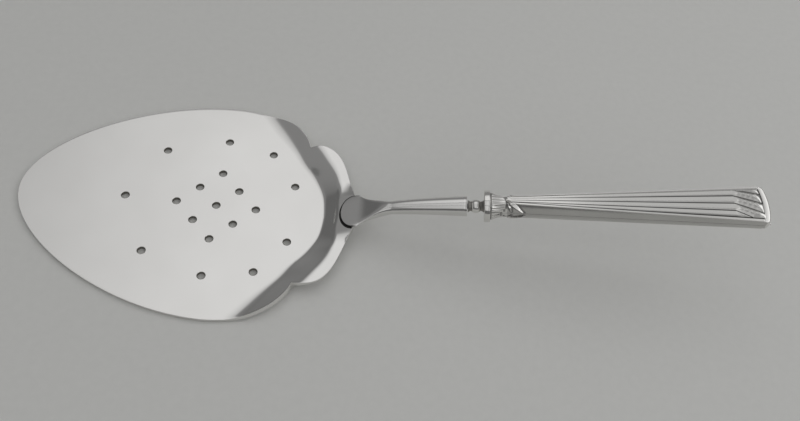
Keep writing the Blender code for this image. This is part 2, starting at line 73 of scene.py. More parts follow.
back = Vector((
    math.sin(CAMERA_TURN) * math.cos(CAMERA_HEIGHT_ANGLE),
    -math.cos(CAMERA_TURN) * math.cos(CAMERA_HEIGHT_ANGLE),
    math.sin(CAMERA_HEIGHT_ANGLE),
))
level = Vector((math.cos(CAMERA_TURN), math.sin(CAMERA_TURN), 0))
right = Matrix.Rotation(CAMERA_ROLL, 3, back) @ level
upward = back.cross(right)
bpy.ops.object.select_all(action="DESELECT")
bpy.ops.object.camera_add()
camera = bpy.context.object
camera.matrix_world = Matrix((right, upward, back)).transposed().to_4x4()
camera.location = CAMERA_PLACE + Vector((HOLE_X, 0, 0))
camera.data.lens = LENS
camera.data.sensor_width = SENSOR_WIDTH
camera.data.clip_start = NEAREST_SEEN
bpy.context.scene.camera = camera
bpy.context.scene.view_settings.view_transform = "Standard"
print("camera stands", round(camera.location.length, 3), "m from the origin")

# %% [markdown]
# ## Nodes and colours
# A material is a tree of nodes. One function adds a node with its settings and links, so that each material
# below reads like a recipe. Colours are written as hex values and turned into the linear values that Blender
# computes with. Most finishes need a noise of a real size and a colour that follows it, so these are
# functions too.

# %% Helpers for materials
def linear(colour):
    """The linear colour of an sRGB hex value such as "#D8D8D6"."""
    parts = [int(colour[start:start + 2], 16) / 255 for start in (1, 3, 5)]
    return tuple(v / 12.92 if v <= 0.04045 else ((v + 0.055) / 1.055) ** 2.4 for v in parts) + (1.0,)


def add_node(tree, kind, settings, links=None):
    """Add a node, set its inputs or properties, and link its inputs, by name or number, to outputs."""
    node = tree.nodes.new(kind)
    for name, value in settings.items():
        if isinstance(name, int) or name in node.inputs:
            node.inputs[name].default_value = value
        else:
            setattr(node, name, value)
    for name, source in (links or {}).items():
        tree.links.new(source, node.inputs[name])
    return node


def new_material(name, **inputs):
    """A material whose surface has these inputs. Returns it, its node tree and that surface."""
    material = bpy.data.materials.new(name)
    material.use_nodes = True
    tree = material.node_tree
    surface = tree.nodes["Principled BSDF"]
    for key, value in inputs.items():
        surface.inputs[key].default_value = value
    return material, tree, surface


def add_noise(tree, size, detail=2.0, scale=None):
    """Noise with grains of size metres. A scale below 1 for X, Y or Z draws them out that way."""
    place = add_node(tree, "ShaderNodeTexCoord", {}).outputs["Object"]
    if scale:
        place = add_node(tree, "ShaderNodeMapping", {"Scale": scale}, {"Vector": place}).outputs["Vector"]
    noise = add_node(tree, "ShaderNodeTexNoise", {"Scale": 1 / size, "Detail": detail}, {"Vector": place})
    return noise.outputs["Fac"]


def add_tint(tree, surface, value, first, second):
    """Colour a surface from one hex colour, at value 0, to another, at 1."""
    tint = add_node(tree, "ShaderNodeValToRGB", {}, {"Fac": value})
    for element, colour in zip(tint.color_ramp.elements, (first, second)):
        element.color = linear(colour)
    tree.links.new(tint.outputs["Color"], surface.inputs["Base Color"])


print("silver white is", [round(v, 2) for v in linear("#E6E5E2")[:3]], "in linear values")

# %% [markdown]
# ## The table
# Polished silver shows the room. The real blade mirrors a bright ceiling, the round stem draws that ceiling
# out into three streaks with thin dark lines between, and steep faces go dark because they mirror unlit
# walls. So the studio is a table under three ceiling panels, with dim walls. The table is a pale matte plane,
# so that nothing on it draws the eye.

# %% Table
TABLE_SIZE = 6.0
TABLE_DROP = 0.1 * MM
TABLE_GRAIN = 3 * MM
TABLE_ROUGHNESS = 0.7

bpy.ops.object.select_all(action="DESELECT")
bpy.ops.mesh.primitive_plane_add(size=TABLE_SIZE, location=(0, 0, -TABLE_DROP))
table = bpy.context.object
table.name = "pale_table"
material, tree, surface = new_material("pale_matte_laminate", Roughness=TABLE_ROUGHNESS)
# The grain of a matte laminate is about 0.5 mm, drawn at 3 mm so that a little of it shows.
add_tint(tree, surface, add_noise(tree, TABLE_GRAIN), "#DFDFDC", "#E5E5E2")
table.data.materials.append(material)
print("table", round(table.dimensions.x, 1), "m wide")

# %% [markdown]
# ## The ceiling panels
# Three area lamps lie side by side, from near to far. Their edges are slopes, distance across over height,
# because that is what a mirror sees. They are dim on the left and over the handle and brightest on the right.
# A lamp is see-through, so its glow adds to that of the wall behind it. The panels fade to nothing at the
# left, and the far one to the rear, because an end that broke off would stand as a hard line in the heel of
# the blade.

# %% Ceiling panels
PANEL_HEIGHT = 1.0
PANEL_GLOW = 0.62
PANEL_SIDES = (-2.2, 2.2)
# (slope to the side, share of the glow)
LEFT_LEVELS = ((-0.95, 0.165), (-0.8, 0.17), (-0.73, 0.23), (-0.62, 0.64))
FAR_LEVELS = (
    (-2.2, 0.0), (-1.3, 0.15), *LEFT_LEVELS, (-0.455, 0.83), (-0.2, 1.05), (0.02, 1.07),
    (0.08, 0.67), (0.3, 0.58), (0.45, 0.85), (0.75, 1.4), (1.2, 1.75))
NEAR_LEVELS = (
    (-2.2, 0.0), (-1.3, 0.2), *LEFT_LEVELS, (-0.455, 0.6), (-0.3, 0.75), (-0.05, 0.95),
    (0.06, 0.55), (0.3, 0.42), (0.6, 0.75), (1.1, 1.0), (1.5, 1.75))
# (slope to the rear, share of the glow)
FAR_FADE = ((0.15, 1.0), (0.85, 1.0), (1.15, 0.55), (1.6, 0.0))
EVEN = ((-2.2, 1.0), (0.15, 1.0))
# Slopes of the near and the far edge, levels from side to side, and levels to the rear
PANELS = {
    "far_panel": (0.15, 1.6, FAR_LEVELS, FAR_FADE),
    "middle_panel": (-0.54, 0.09, NEAR_LEVELS, EVEN),
    "near_panel": (-2.2, -0.60, NEAR_LEVELS, EVEN),
}


def add_levels(tree, socket, levels, low, high):
    """A ramp along one side of a panel, whose places are slopes between low and high."""
    ramp = add_node(tree, "ShaderNodeValToRGB", {}, {"Fac": socket})
    top = max(level for _, level in levels)
    while len(ramp.color_ramp.elements) < len(levels):
        ramp.color_ramp.elements.new(0.5)
    for element, (slope, level) in zip(ramp.color_ramp.elements, levels):
        element.position = min(max((slope - low) / (high - low), 0.0), 1.0)
        element.color = (level / top, level / top, level / top, 1)
    return add_node(tree, "ShaderNodeMath", {"operation": "MULTIPLY", 1: top}, {0: ramp.outputs["Color"]})


def add_panel(name, near, far, side_levels, depth_levels):
    """A ceiling lamp between two slopes, with levels of glow from side to side and to the rear."""
    width = (PANEL_SIDES[1] - PANEL_SIDES[0]) * PANEL_HEIGHT
    depth = (far - near) * PANEL_HEIGHT
    middle = Vector((sum(PANEL_SIDES) / 2, (near + far) / 2, 1)) * PANEL_HEIGHT
    bpy.ops.object.light_add(type="AREA", location=middle)
    lamp = bpy.context.object
    lamp.name = name
    lamp.data.shape = "RECTANGLE"
    lamp.data.size = width
    lamp.data.size_y = depth
    lamp.data.energy = PANEL_GLOW * math.pi * width * depth
    lamp.data.use_nodes = True
    tree = lamp.data.node_tree
    shape = add_node(tree, "ShaderNodeNewGeometry", {})
    places = add_node(tree, "ShaderNodeSeparateXYZ", {}, {"Vector": shape.outputs["Parametric"]})
    sides = add_levels(tree, places.outputs["X"], side_levels, *PANEL_SIDES)
    fade = add_levels(tree, places.outputs["Y"], depth_levels, near, far)
    strength = add_node(tree, "ShaderNodeMath", {"operation": "MULTIPLY"},
                        {0: sides.outputs["Value"], 1: fade.outputs["Value"]})
    tree.links.new(strength.outputs["Value"], tree.nodes["Emission"].inputs["Strength"])


for name, place in PANELS.items():
    add_panel(name, *place)

# %% [markdown]
# ## The walls
# The world's background stands for the walls. They are dim, so that steep faces go dark but not black. The
# far wall, told by how far the direction of sight turns to the rear, is a little brighter, which shows on the
# near side of the heel.

# %% Walls
WALL_GLOW = 0.14
FAR_WALL_GLOW = 0.24
FAR_WALL_TURN = (0.65, 0.9)

world = bpy.data.worlds.new("dim_walls")
bpy.context.scene.world = world
world.use_nodes = True
tree = world.node_tree
walls = tree.nodes["Background"]
walls.inputs["Color"].default_value = (1, 1, 1, 1)
sight = add_node(tree, "ShaderNodeTexCoord", {})
turn = add_node(tree, "ShaderNodeSeparateXYZ", {}, {"Vector": sight.outputs["Generated"]})
glow = add_node(
    tree, "ShaderNodeMapRange",
    {"From Min": FAR_WALL_TURN[0], "From Max": FAR_WALL_TURN[1], "To Min": WALL_GLOW, "To Max": FAR_WALL_GLOW},
    {"Value": turn.outputs["Y"]})
tree.links.new(glow.outputs["Result"], walls.inputs["Strength"])
print("walls glow at", WALL_GLOW, "and the far one at", FAR_WALL_GLOW)

# %% [markdown]
# ## The silver
# Blade and shank are nickel silver with a plate of silver, buffed to a mirror. Buffing leaves faint lines and
# handling a little cloudiness. The handle is sheet silver. One recipe makes both: the lines change the
# roughness and tilt the surface a little, and a value stored on the mesh darkens and roughens it. On the
# shank that value is a solder stain. On blade, knop and handle it is painted shade, in hole walls, coves,
# grooves, flanks and the ground beside the relief.

# %% Silver finishes
CLOUD_SIZE = 25 * MM
CLOUD_DARKNESS = 0.16
LINE_DETAIL, CLOUD_DETAIL = 3.0, 4.0
LINE_ROUGHNESS = (0.8, 1.25)
PATINA_AND_SHADE_ROUGHNESS = 0.4
LINE_BUMP = {"Strength": 0.05, "Distance": 0.02 * MM}


def silver(name, bright, dull, roughness, line_spacing, line_scale):
    """Buffed silver with lines line_spacing metres apart, drawn out by the scale along X, Y and Z."""
    material, tree, surface = new_material(name, Metallic=1.0)
    lines = add_noise(tree, line_spacing, LINE_DETAIL, line_scale)
    # Cloudiness from handling, in patches of about 25 mm.
    clouds = add_noise(tree, CLOUD_SIZE, CLOUD_DETAIL)
    # A value stored on the mesh darkens the silver: a solder stain on the shank, painted shade elsewhere.
    patina_and_painted_shade = add_node(tree, "ShaderNodeAttribute", {"attribute_name": "patina_and_painted_shade"}).outputs["Fac"]
    haze = add_node(tree, "ShaderNodeMath", {"operation": "MULTIPLY", 1: CLOUD_DARKNESS}, {0: clouds})
    dark = add_node(tree, "ShaderNodeMath", {"operation": "ADD", "use_clamp": True},
                    {0: haze.outputs["Value"], 1: patina_and_painted_shade})
    add_tint(tree, surface, dark.outputs["Value"], bright, dull)
    low, high = (roughness * share for share in LINE_ROUGHNESS)
    rough = add_node(tree, "ShaderNodeMapRange", {"To Min": low, "To Max": high}, {"Value": lines})
    worn = add_node(tree, "ShaderNodeMath", {"operation": "MULTIPLY_ADD", 1: PATINA_AND_SHADE_ROUGHNESS},
                    {0: patina_and_painted_shade, 2: rough.outputs["Result"]})
    tree.links.new(worn.outputs["Value"], surface.inputs["Roughness"])
    bump = add_node(tree, "ShaderNodeBump", LINE_BUMP, {"Height": lines})
    tree.links.new(bump.outputs["Normal"], surface.inputs["Normal"])
    return material


# Buffing lines are about 0.1 mm apart, drawn at 0.4 to 0.6 mm so that they show.
# The blade is a clear mirror with a breath of cloud, and painted shade greys the walls of its holes.
plate = silver("buffed_silver_plate", "#EDECEA", "#8F8C86", 0.10, 0.6 * MM, (0.08, 1, 1))
# The shank is the same mirror with long crisp streaks, and nearly black along the solder.
forged = silver("buffed_silver_plate_on_forging", "#EBEAE8", "#2B2A28", 0.09, 0.5 * MM, (0.1, 1, 1))
# Turned silver shows bright rings, because its lines run round it, and painted shade greys the coves.
turned = silver("turned_silver", "#EBEAE7", "#6E6B66", 0.08, 0.4 * MM, (1, 0.2, 0.2))
# The stamped handle is whiter and softer, and painted shade makes its grooves and flanks dark against it.
stamped = silver("stamped_sheet_silver", "#F1F0ED", "#232120", 0.11, 0.5 * MM, (0.1, 1, 1))
print("finishes:", plate.name, forged.name, turned.name, stamped.name)

# %% [markdown]
# ## Small tools for shaping
# Most pieces start as a grid or a circle whose points are then moved, row by row, to where the form needs
# them. That keeps the rows even, as a mirror finish needs: a dent of a hundredth of a millimetre would show.
# Three short functions give the curves on which the points lie.

# %% Curves and grids
def blend(start, end, share):
    """The value that lies a share of the way from start to end."""
    return start + (end - start) * share


def ease(value):
    """A smooth rise from 0 to 1 while value goes from 0 to 1."""
    value = min(max(value, 0.0), 1.0)
    return value * value * (3 - 2 * value)


def bezier(points, share):
    """A point on a cubic curve of four control points."""
    a, b, c, d = points
    rest = 1 - share
    return a * rest ** 3 + b * 3 * rest ** 2 * share + c * 3 * rest * share ** 2 + d * share ** 3


def shaped_grid(name, rows, columns, spot):
    """A grid of rows along X and columns along Y, each point moved to spot(row, column)."""
    bpy.ops.object.select_all(action="DESELECT")
    bpy.ops.mesh.primitive_grid_add(x_subdivisions=rows - 1, y_subdivisions=columns - 1, size=2)
    piece = bpy.context.object
    piece.name = piece.data.name = name
    for vert in piece.data.vertices:
        row = round((vert.co.x + 1) / 2 * (rows - 1))
        column = round((vert.co.y + 1) / 2 * (columns - 1))
        vert.co = spot(row, column)
    return piece


print("ease rises as", [round(ease(quarter / 4), 2) for quarter in range(5)])

# %% [markdown]
# ## Tools of edit mode
# These do what one would do by hand: select a piece, merge points that fell together, turn the faces
# outwards, close open edges, and add a modifier and apply it. They are functions, so that a piece can list
# the steps it needs.

# %% Edit-mode tools
MERGE_REACH = 0.002 * MM


def only(piece):
    """Select this piece and nothing else."""
    bpy.ops.object.select_all(action="DESELECT")
    piece.select_set(True)
    bpy.context.view_layer.objects.active = piece


def edit(piece, *steps):
    """Run edit-mode steps on everything in the piece."""
    only(piece)
    bpy.ops.object.mode_set(mode="EDIT")
    bpy.ops.mesh.select_all(action="SELECT")
    for step in steps:
        step()
    bpy.ops.object.mode_set(mode="OBJECT")


def merge():
    """Join points that lie within two micrometres."""
    bpy.ops.mesh.remove_doubles(threshold=MERGE_REACH)


def outward():
    """Turn all faces of a closed shape outwards."""
    bpy.ops.mesh.normals_make_consistent(inside=False)


def fill_openings():
    """Close every open edge loop with a face."""
    bpy.ops.mesh.select_all(action="DESELECT")
    bpy.ops.mesh.select_mode(type="EDGE")
    bpy.ops.mesh.select_non_manifold()
    bpy.ops.mesh.edge_face_add()
    bpy.ops.mesh.select_all(action="SELECT")


def apply_modifier(piece, kind, **settings):
    """Add a modifier with these settings and apply it at once."""
    only(piece)
    modifier = piece.modifiers.new(kind.lower(), kind)
    for name, value in settings.items():
        setattr(modifier, name, value)
    bpy.ops.object.modifier_apply(modifier=modifier.name)


print("points within", MERGE_REACH / MM, "mm are merged")

# %% [markdown]
# ## Closing a piece
# Every piece ends in the same way. The darkness of the silver is stored on its points, it is shaded smooth
# except at its edges, and it gets its finish. Then it takes the place of a measured node, with its body.

# %% Close a piece
def set_patina_and_painted_shade(piece, values):
    """Store how dark the silver is at each point, from 0 to 1: a stain or painted shade."""
    patina_and_painted_shade = piece.data.attributes.new("patina_and_painted_shade", "FLOAT", "POINT")
    patina_and_painted_shade.data.foreach_set("value", values)


def coat(piece, material):
    """Give a piece this finish and no other."""
    piece.data.materials.clear()
    piece.data.materials.append(material)


def smooth(piece, sharp):
    """Shade the piece smooth, except at edges sharper than so many degrees."""
    only(piece)
    bpy.ops.object.shade_smooth_by_angle(angle=math.radians(sharp))


def finish_piece(piece, material, node, sharp=35):
    """Shade and coat the piece, and put it in place of a measured node."""
    smooth(piece, sharp)
    coat(piece, material)
    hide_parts(node)
    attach(piece, "root")
    piece.data.calc_loop_triangles()
    print(piece.name, "stands for", node, "with", len(piece.data.loop_triangles), "triangles")


print("measured nodes:", ", ".join(frame["nodes"]))

# %% [markdown]
# ## The blade's outline
# The blade is a sheet 1.5 mm thick that a press cuts out, egg-shaped in front and with two lobes on each side
# behind. Both sides are alike, so one half is drawn, with three cubic curves from the tip over the widest
# place and the notch to the rear end.

# %% Outline of the blade
SHEET = 1.5 * MM
TIP = Vector((-TIP_TO_HOLE, 0))
WIDEST = Vector((3.0, 47.75)) * MM
NOTCH = Vector((32.5, 30.9)) * MM
REAR = Vector((52.4, 6.5)) * MM
NOSE_FULLNESS = ((0, 0.46), (0.54, 1))
SIDE_FULLNESS = ((0.054, 0), (0.825, 0.015))
LOBE_FULLNESS = ((0.707, -0.119), (0.748, 0.457))
EDGE_COUNTS = (60, 70, 64)


def edge_curve(start, end, fullness):
    """Control points of a curve whose inner two lie at shares of the way from start to end."""
    span = end - start
    return (start, *(start + Vector((span.x * along, span.y * down)) for along, down in fullness), end)


def edge_rows():
    """Points (x, half width) of the edge, from the tip to the rear end."""
    curves = (
        edge_curve(TIP, WIDEST, NOSE_FULLNESS),
        edge_curve(WIDEST, NOTCH, SIDE_FULLNESS),
        edge_curve(NOTCH, REAR, LOBE_FULLNESS),
    )
    rows = [TIP]
    for points, count in zip(curves, EDGE_COUNTS):
        rows += [bezier(points, (index + 1) / count) for index in range(count)]
    return rows


blade_rows = edge_rows()
print("the outline has", len(blade_rows), "points on each side")

# %% [markdown]
# ## The heel
# Behind the holes the sheet is pressed up in an S-shaped step. It runs straight across the middle, then turns
# forwards on both sides, where it is longer and softer, and swells a little beside each notch. In the middle
# it slopes up as a seat for the shank. A height that depends only on a point's place says all of this, and
# shank and solder can ask it too.

# %% Heel of the blade
HEEL_X = 40.1 * MM
HEEL_STRAIGHT = 9 * MM
HEEL_CORNER = 5 * MM
HEEL_RAKE = 0.75
HEEL_LAG = 0.9 * MM
STEP_LENGTH = 7.2 * MM
LOBE_STEP_LENGTH = 11.8 * MM
LOBE_STEP = (4 * MM, 24 * MM)
SIDE_STEP_LENGTH = 13.5 * MM
SIDE_STEP = (23 * MM, 40 * MM)
SIDE_LEAD = 2.2 * MM
STEP_HEIGHT = 4.4 * MM
STEP_ROUNDING = 0.25
SIDE_ROUNDING = 0.4
SWELL = 0.9 * MM
SWELL_AT = 23.5 * MM
SWELL_REACH = 4.2 * MM
SEAT_SLOPE = 0.36
SEAT_DROP = 0.7 * MM
SEAT_X = 45.0 * MM
SEAT_HALF_WIDTH = 7.55 * MM
SEAT_FADE = 8 * MM


def soft_ramp(value, rounding):
    """A ramp from 0 to 1 with both ends rounded over a share of its length."""
    value = min(max(value, 0.0), 1.0)
    end = min(value, 1 - value)
    if end > rounding:
        return (value - rounding / 2) / (1 - rounding)
    rise = end ** 2 / (2 * rounding * (1 - rounding))
    return rise if value < rounding else 1 - rise


def step_start(y, outwards):
    """Where the step starts behind the heel line, nearer beside each notch and at the sides."""
    swell = SWELL * math.exp(-(((abs(y) - SWELL_AT) / SWELL_REACH) ** 2))
    return HEEL_LAG - swell - SIDE_LEAD * outwards


def between(y, limits):
    """A smooth rise from 0 to 1 between two limits on either side."""
    return ease((abs(y) - limits[0]) / (limits[1] - limits[0]))


def blade_rise(x, y):
    """Height of the sheet over the table: flat, then the S-shaped step, then the sloping seat."""
    outside = abs(y) - HEEL_STRAIGHT
    bend = math.hypot(outside, HEEL_CORNER)
    heel = HEEL_X - HEEL_RAKE * (outside + bend) / 2
    beyond = (x - heel) / math.hypot(1, HEEL_RAKE * (1 + outside / bend) / 2)
    outwards = between(y, SIDE_STEP)
    length = blend(STEP_LENGTH, LOBE_STEP_LENGTH, between(y, LOBE_STEP))
    length += (SIDE_STEP_LENGTH - LOBE_STEP_LENGTH) * outwards
    start = step_start(y, outwards)
    fade = 1 - ease((abs(y) - SEAT_HALF_WIDTH) / SEAT_FADE)
    risen = soft_ramp((beyond - start) / (length - start), blend(STEP_ROUNDING, SIDE_ROUNDING, outwards))
    step = (STEP_HEIGHT - SEAT_DROP * fade) * risen
    return step + SEAT_SLOPE * max(x - SEAT_X, 0) * fade


print("the rear end lies", round(blade_rise(REAR.x, 0) / MM, 2), "mm over the table")

# %% [markdown]
# ## Pressing the blade
# The sheet is a grid whose rows run across the outline, each point lifted to its height. Solidify gives it
# its thickness, and a bevel breaks the edge, as the polisher does.

# %% Press the blade
BLADE_COLUMNS = 121
BLADE_EDGE = 0.25 * MM
EDGE_SEGMENTS = 3
EDGE_ANGLE = math.radians(60)


def blade_spot(row, column):
    """Place of a point on the upper face of the blade."""
    x, half_width = blade_rows[row]
    y = half_width * (2 * column / (BLADE_COLUMNS - 1) - 1)
    return Vector((HOLE_X + x, y, blade_rise(x, y) + SHEET))


blade = shaped_grid("blade_pierced", len(blade_rows), BLADE_COLUMNS, blade_spot)
edit(blade, merge)
apply_modifier(blade, "SOLIDIFY", thickness=SHEET, offset=-1.0)
apply_modifier(
    blade, "BEVEL", width=BLADE_EDGE, segments=EDGE_SEGMENTS, limit_method="ANGLE", angle_limit=EDGE_ANGLE)
print("blade is", [round(size / MM, 1) for size in blade.dimensions], "mm")

# %% [markdown]
# ## The punch
# A punch leaves a hole with a round wall, and polishing breaks its edge. The cutter is a cylinder whose ends
# are extruded wider, so that it cuts the hole and its broken edges in one go.

# %% Make the punch
HOLE_RADIUS = 1.5 * MM
HOLE_SIDES = 48
EDGE_BREAK = 0.14 * MM
END_FACE = 0.9


def widen_end(piece, direction):
    """Extrude one end of the cutter to the wider break and on out of the sheet."""
    only(piece)
    bpy.ops.object.mode_set(mode="EDIT")
    bpy.ops.mesh.select_all(action="DESELECT")
    bpy.ops.object.mode_set(mode="OBJECT")
    for face in piece.data.polygons:
        face.select = face.normal.z * direction > END_FACE
    bpy.ops.object.mode_set(mode="EDIT")
    wider = (HOLE_RADIUS + EDGE_BREAK) / HOLE_RADIUS
    end = (0, 0, SHEET / 2)
    bpy.ops.mesh.extrude_region_move(TRANSFORM_OT_translate={"value": (0, 0, direction * EDGE_BREAK)})
    bpy.ops.transform.resize(value=(wider, wider, 1), center_override=end)
    bpy.ops.mesh.extrude_region_move(TRANSFORM_OT_translate={"value": (0, 0, direction * SHEET)})
    bpy.ops.object.mode_set(mode="OBJECT")


bpy.ops.object.select_all(action="DESELECT")
bpy.ops.mesh.primitive_cylinder_add(
    vertices=HOLE_SIDES, radius=HOLE_RADIUS, depth=SHEET - 2 * EDGE_BREAK, location=(0, 0, SHEET / 2))
punch = bpy.context.object
bpy.ops.object.transform_apply(location=True, rotation=True, scale=True)
widen_end(punch, 1)
widen_end(punch, -1)
print("the punch is made of", len(punch.data.polygons), "faces")

# %% [markdown]
# ## The drain holes
# Nine holes make a diamond, and nine more a ring round it. The punch is copied to every place, and one
# boolean cuts all the holes at once. The wall of each hole gets the dull tone of the finish as painted shade.

# %% Cut the drain holes
DIAMOND = 15 * MM
# (degrees round the centre hole, distance from it in mm)
RING = ((180, 34.1), (135, 32.5), (-135, 32.5), (90, 30.6), (-90, 30.6),
        (56, 32.4), (-56, 32.4), (24, 31.2), (-24, 31.2))
WALL_REACH = HOLE_RADIUS * 1.02


def hole_places():
    """Centres of the holes, the diamond first."""
    half = DIAMOND / 2
    places = [(half * (i - j), half * (i + j)) for i in (-1, 0, 1) for j in (-1, 0, 1)]
    for angle, reach in RING:
        turn = math.radians(angle)
        places.append((reach * MM * math.cos(turn), reach * MM * math.sin(turn)))
    return [Vector((HOLE_X + x, y)) for x, y in places]


def hole_wall(co):
    """1 on the wall of a hole and 0 elsewhere."""
    return 1.0 if min((co.xy - hole).length for hole in holes) < WALL_REACH else 0.0


holes = hole_places()
copies = []
for hole in holes:
    copy = punch.copy()
    copy.data = punch.data.copy()
    copy.data.transform(Matrix.Translation(hole.to_3d()))
    bpy.context.scene.collection.objects.link(copy)
    copies.append(copy)
bpy.data.objects.remove(punch)
only(copies[0])
for copy in copies:
    copy.select_set(True)
bpy.ops.object.join()
punches = bpy.context.object
apply_modifier(blade, "BOOLEAN", operation="DIFFERENCE", solver="EXACT", object=punches)
bpy.data.objects.remove(punches)
print(len(copies), "holes cut")
# The walls of the holes get painted shade.
set_patina_and_painted_shade(blade, [hole_wall(vert.co) for vert in blade.data.vertices])
finish_piece(blade, plate, "blade")

# %% [markdown]
# ## The handle's axis
# The knop, the collar and the handle share one axis that rises by 11.4 degrees. Their places are distances
# along it from the collar's front face, which this helper turns into points.

# %% The axis that knop, collar and handle share
AXIS_ANGLE = math.radians(11.4)
AXIS_HEIGHT = 21.7 * MM
ALONG = Vector((math.cos(AXIS_ANGLE), 0, math.sin(AXIS_ANGLE)))
ABOVE = Vector((-math.sin(AXIS_ANGLE), 0, math.cos(AXIS_ANGLE)))
STEM_END = -6.2 * MM
STEM_END_X = 93.4 * MM
AXIS_START = Vector((HOLE_X + STEM_END_X - STEM_END * ALONG.x, 0, AXIS_HEIGHT))


def on_axis(place, across=0.0, height=0.0):
    """A point at a place along the axis, moved across it and above it."""
    return AXIS_START + ALONG * place + Vector((0, across, 0)) + ABOVE * height


print("axis starts at", [round(value / MM, 2) for value in AXIS_START], "mm")

# %% [markdown]
# ## The tongue of the shank
# A smith draws the shank out of one bar. It starts as a flat tongue with a round nose, which lies on the
# blade's seat and is brazed there. It is made as a tube of rings along a bent centre line. A ring is written
# with its centre, direction, half width, half height and squareness.

# %% Rings of the tongue
TONGUE_X = 47.1 * MM
TONGUE_NOSE = 5.0 * MM
TONGUE_STRAIGHT = 1.7 * MM
TONGUE_HALF_WIDTH = 7.05 * MM
TONGUE_HALF_THICKNESS = 0.5 * MM
TONGUE_LIFT = 0.04 * MM
TONGUE_SQUARENESS = 7.0
NOSE_RINGS = 18
tongue_widest = TONGUE_X + TONGUE_NOSE
flare_start = tongue_widest + TONGUE_STRAIGHT


def tongue_middle(x):
    """Middle of the tongue's thickness over the sloping seat."""
    seat = blade_rise(REAR.x, 0) + SEAT_SLOPE * (x - REAR.x)
    lift = (TONGUE_LIFT + TONGUE_HALF_THICKNESS) * math.hypot(1, SEAT_SLOPE)
    return Vector((HOLE_X + x, 0, SHEET + seat + lift))


def tongue_rings():
    """(centre, direction, half width, half height, squareness) from the nose to the start of the flare."""
    slope = Vector((1, 0, SEAT_SLOPE)).normalized()
    turns = [math.pi / 2 * index / NOSE_RINGS for index in range(NOSE_RINGS + 1)]
    places = [(tongue_widest - TONGUE_NOSE * math.cos(turn), math.sin(turn)) for turn in turns]
    places.append((flare_start, 1))
    section = (TONGUE_HALF_THICKNESS, TONGUE_SQUARENESS)
    return [(tongue_middle(x), slope, TONGUE_HALF_WIDTH * width, *section) for x, width in places]


print("tongue:", len(tongue_rings()), "rings up to x =", round((HOLE_X + flare_start) / MM, 2), "mm")

# %% [markdown]
# ## The flare and the stem
# Behind the tongue the bar flares in to a thin neck, fast at first and then slowly, and the stem grows
# thicker from there to its flat end. The rings change from a rounded rectangle to a circle. Their centre line
# is one cubic curve that leaves along the tongue's slope and arrives along the axis.

# %% Rings of the flare and the stem
FLARE_LENGTH = 12.5 * MM
FLARE_RISE_LENGTH = 11.5 * MM
FLARE_WAIST = 0.38
FLARE_LEAD = 8 * MM
NECK_RADIUS = 2.5 * MM
STEM_RADIUS = 3.8 * MM
STEM_LENGTH = 27.1 * MM
STEM_LEAD = 30 * MM
STEM_SQUARENESS = 2
STEM_EDGE = 0.25 * MM
STEM_RINGS = 80
NEARBY = 0.01


def stem_rings():
    """The rings of the flare and the stem, up to its flat end."""
    start = tongue_middle(flare_start)
    end = on_axis(STEM_END)
    points = (start, start + Vector((1, 0, SEAT_SLOPE)) * FLARE_LEAD, end - ALONG * STEM_LEAD, end)
    rings = []
    for index in range(1, STEM_RINGS + 1):
        share = index / STEM_RINGS
        centre = bezier(points, share)
        direction = (bezier(points, min(share + NEARBY, 1)) - bezier(points, share - NEARBY)).normalized()
        x = centre.x - HOLE_X - flare_start
        flared = ease(x / FLARE_LENGTH)
        radius = blend(NECK_RADIUS, STEM_RADIUS, max(x - FLARE_LENGTH, 0) / STEM_LENGTH)
        half_width = blend(TONGUE_HALF_WIDTH, radius, flared ** FLARE_WAIST)
        half_height = blend(TONGUE_HALF_THICKNESS, radius, ease(x / FLARE_RISE_LENGTH))
        squareness = blend(TONGUE_SQUARENESS, STEM_SQUARENESS, flared)
        rings.append((centre, direction, half_width, half_height, squareness))
    return rings


def end_rings(ring):
    """The broken edge of the stem's flat end, in place of its last ring."""
    centre, direction, half_width, half_height, squareness = ring
    rings = [(centre - direction * STEM_EDGE, *ring[1:])]
    for turn in (0.5, 1.0):
        inset = STEM_EDGE * (1 - math.cos(turn * math.pi / 2))
        ahead = direction * (STEM_EDGE * (math.sin(turn * math.pi / 2) - 1))
        rings.append((centre + ahead, direction, half_width - inset, half_height - inset, squareness))
    return rings


shank_rings = tongue_rings() + stem_rings()
shank_rings += end_rings(shank_rings.pop())
print("shank:", len(shank_rings), "rings")

# %% [markdown]
# ## Forging the shank
# The rings are drawn as a grid whose first and last columns meet. Merged and closed at both ends, it is a
# solid. A narrow rim round the nose is stained by the solder, which the finish reads as patina.

# %% Forge the shank
RING_POINTS = 73
RIM_START = 0.94
RIM_FADE = 0.02


def shank_spot(row, column):
    """Place of a point on a ring of the shank, counted over the top from the near side."""
    centre, direction, half_width, half_height, squareness = shank_rings[row]
    angle = 2 * math.pi * column / (RING_POINTS - 1)
    across, rise = -math.cos(angle), math.sin(angle)
    power = 2 / squareness
    across = math.copysign(abs(across) ** power, across) * half_width
    rise = math.copysign(abs(rise) ** power, rise) * half_height
    return centre + Vector((0, across, 0)) + direction.cross(Vector((0, 1, 0))) * rise


def tongue_rim(co):
    """Darkness of the solder line that runs round the edge of the tongue's nose."""
    nose = (co.x - HOLE_X - tongue_widest) / TONGUE_NOSE
    if nose >= 0:
        return 0.0
    return min(max((math.hypot(nose, co.y / TONGUE_HALF_WIDTH) - RIM_START) / RIM_FADE, 0.0), 1.0)


shank = shaped_grid("shank_forged", len(shank_rings), RING_POINTS, shank_spot)
edit(shank, merge, fill_openings, outward)
set_patina_and_painted_shade(shank, [tongue_rim(vert.co) for vert in shank.data.vertices])
finish_piece(shank, forged, "shank")

